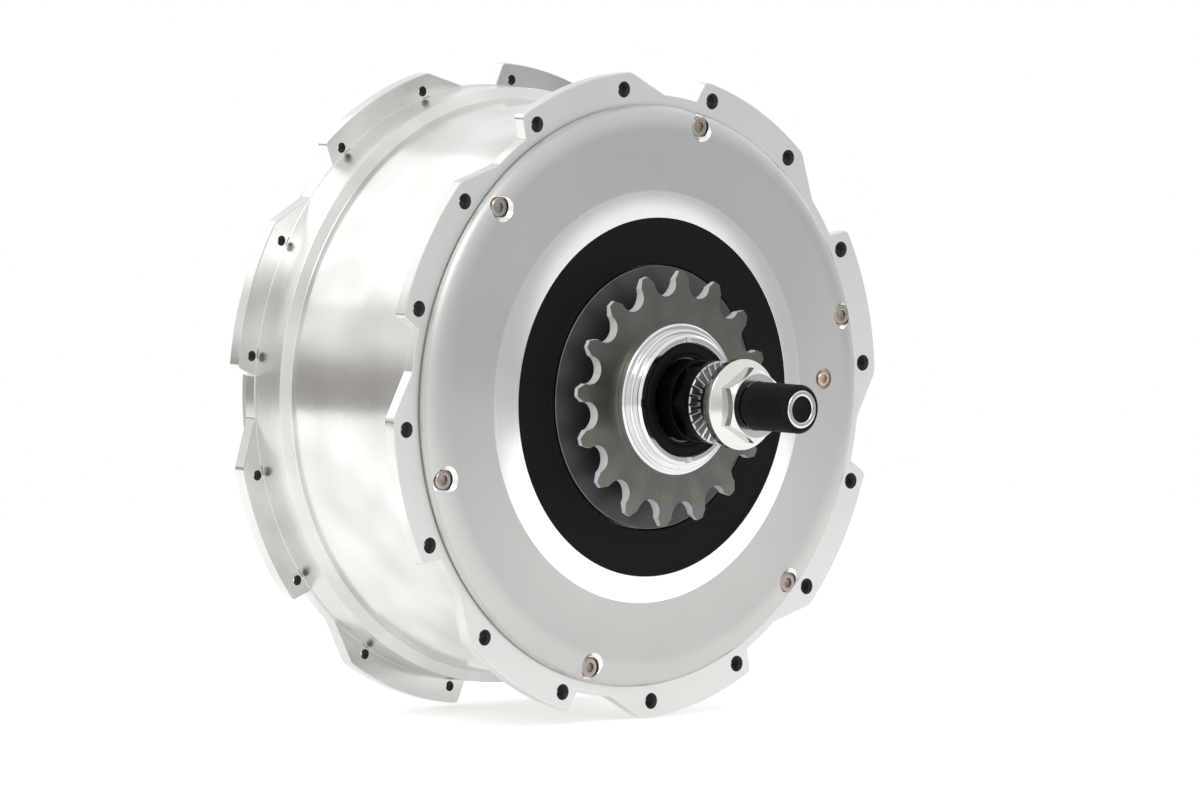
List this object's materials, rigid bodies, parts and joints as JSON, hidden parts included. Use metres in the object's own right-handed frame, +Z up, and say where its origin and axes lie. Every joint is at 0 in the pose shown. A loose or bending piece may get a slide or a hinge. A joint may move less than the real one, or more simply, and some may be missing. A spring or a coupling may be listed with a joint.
{
  "type": "electric hub drive",
  "caption": "Spoked bicycle wheel hub with a built-in geared electric motor and battery, a chain sprocket and a capped charging port in the axle end.",
  "frame": {"origin": "on the axle, midway between the two frame dropouts", "axes": "+Y along the axle away from the sprocket side, +X forward, +Z up"},
  "size_m": [0.1792, 0.1865, 0.1792],
  "materials": {
    "axle_steel": "turned, oiled",
    "black_steel": "black oxide",
    "zinc_steel": "bright zinc plated",
    "chrome_steel": "chrome plated",
    "bearing_steel": "ground",
    "cast_aluminium": "as cast",
    "laminations": "varnished electrical steel",
    "copper_wire": "enamelled copper",
    "circuit_board": "solder mask",
    "wire_sleeve": "moulded",
    "gear_steel": "machined",
    "tray_plastic": "moulded",
    "cell_wrap": "shrink wrap",
    "nickel_strip": "nickel",
    "brass_fitting": "turned",
    "black_plastic": "moulded",
    "polished_aluminium": "polished",
    "satin_aluminium": "satin anodised",
    "gasket_paper": "pressed fibre",
    "copper_plug": "turned",
    "black_rubber": "matt moulded",
    "gear_nylon": "machined nylon",
    "sprocket_steel": "ground and plated",
    "dark_steel": "dark plated"
  },
  "bodies": {
    "axle": {"axle": "axle_steel", "axle_ends": "axle_steel", "locknuts": "black_steel", "axle_nuts": "chrome_steel", "axle_spacers": "bearing_steel", "stator_carrier": "cast_aluminium", "stator_core": "laminations", "stator_coils": "copper_wire", "hall_board": "circuit_board", "phase_wires": "wire_sleeve", "planet_carrier": "gear_steel", "planet_pins": "bearing_steel", "rotor_circlips": "black_steel", "battery_tray": "tray_plastic", "battery_holder": "tray_plastic", "battery_cells": "cell_wrap", "battery_tie_rods": "zinc_steel", "busbars": "nickel_strip", "controller_board": "circuit_board", "board_standoffs": "brass_fitting", "controller_capacitors": "black_plastic", "controller_transistors": "black_plastic", "port_cable": "wire_sleeve", "port_connector": "black_plastic", "port_contacts": "brass_fitting", "small_inner_races": "bearing_steel", "cover_inner_race": "bearing_steel", "left_inner_race": "bearing_steel"},
    "shell": {"hub_shell": "polished_aluminium", "drive_cover": "satin_aluminium", "cover_gasket": "gasket_paper", "cover_screws": "chrome_steel", "vent_plug": "copper_plug", "seal_ring": "black_rubber", "left_dust_seal": "black_rubber", "ring_gear": "gear_steel", "ring_gear_screws": "black_steel", "cover_outer_race": "bearing_steel", "cover_bearing_balls": "bearing_steel", "left_outer_race": "bearing_steel", "left_bearing_balls": "bearing_steel"},
    "rotor": {"rotor_core": "gear_steel", "rotor_magnets": "nickel_strip", "sun_gear": "gear_steel", "rotor_outer_races": "bearing_steel", "rotor_bearing_balls": "bearing_steel"},
    "planet_1": {"planet_gear_1": "gear_nylon"},
    "planet_2": {"planet_gear_2": "gear_nylon"},
    "planet_3": {"planet_gear_3": "gear_nylon"},
    "driver": {"freewheel_driver": "gear_steel", "driver_outer_races": "bearing_steel", "driver_bearing_balls": "bearing_steel", "clutch_rollers": "bearing_steel", "clutch_cage": "brass_fitting", "sprocket": "sprocket_steel", "lockring": "chrome_steel", "guard_disc": "dark_steel", "driver_dust_seal": "black_rubber"},
    "port_cap": {"port_cap": "black_rubber", "cap_ring": "chrome_steel"}
  },
  "joints": [
    {"name": "hub_spin", "type": "hinge", "parent": "axle", "child": "shell", "pos_m": [0, 0, 0], "axis": [0, 1, 0], "continuous": true},
    {"name": "rotor_spin", "type": "hinge", "parent": "axle", "child": "rotor", "pos_m": [0, 0, 0], "axis": [0, 1, 0], "continuous": true},
    {"name": "planet_1_spin", "type": "hinge", "parent": "axle", "child": "planet_1", "pos_m": [0, -0.0086, 0.03], "axis": [0, 1, 0], "continuous": true},
    {"name": "planet_2_spin", "type": "hinge", "parent": "axle", "child": "planet_2", "pos_m": [-0.02598, -0.0086, -0.015], "axis": [0, 1, 0], "continuous": true},
    {"name": "planet_3_spin", "type": "hinge", "parent": "axle", "child": "planet_3", "pos_m": [0.02598, -0.0086, -0.015], "axis": [0, 1, 0], "continuous": true},
    {"name": "driver_spin", "type": "hinge", "parent": "axle", "child": "driver", "pos_m": [0, 0, 0], "axis": [0, 1, 0], "continuous": true},
    {"name": "cap_pull", "type": "slide", "parent": "axle", "child": "port_cap", "axis": [0, -1, 0], "range_m": [0, 0.02]}
  ],
  "couplings": [
    {"joint": "rotor_spin", "follows": "hub_spin", "ratio": -4},
    {"joint": "planet_1_spin", "follows": "hub_spin", "ratio": 2.6667},
    {"joint": "planet_2_spin", "follows": "hub_spin", "ratio": 2.6667},
    {"joint": "planet_3_spin", "follows": "hub_spin", "ratio": 2.6667}
  ]
}
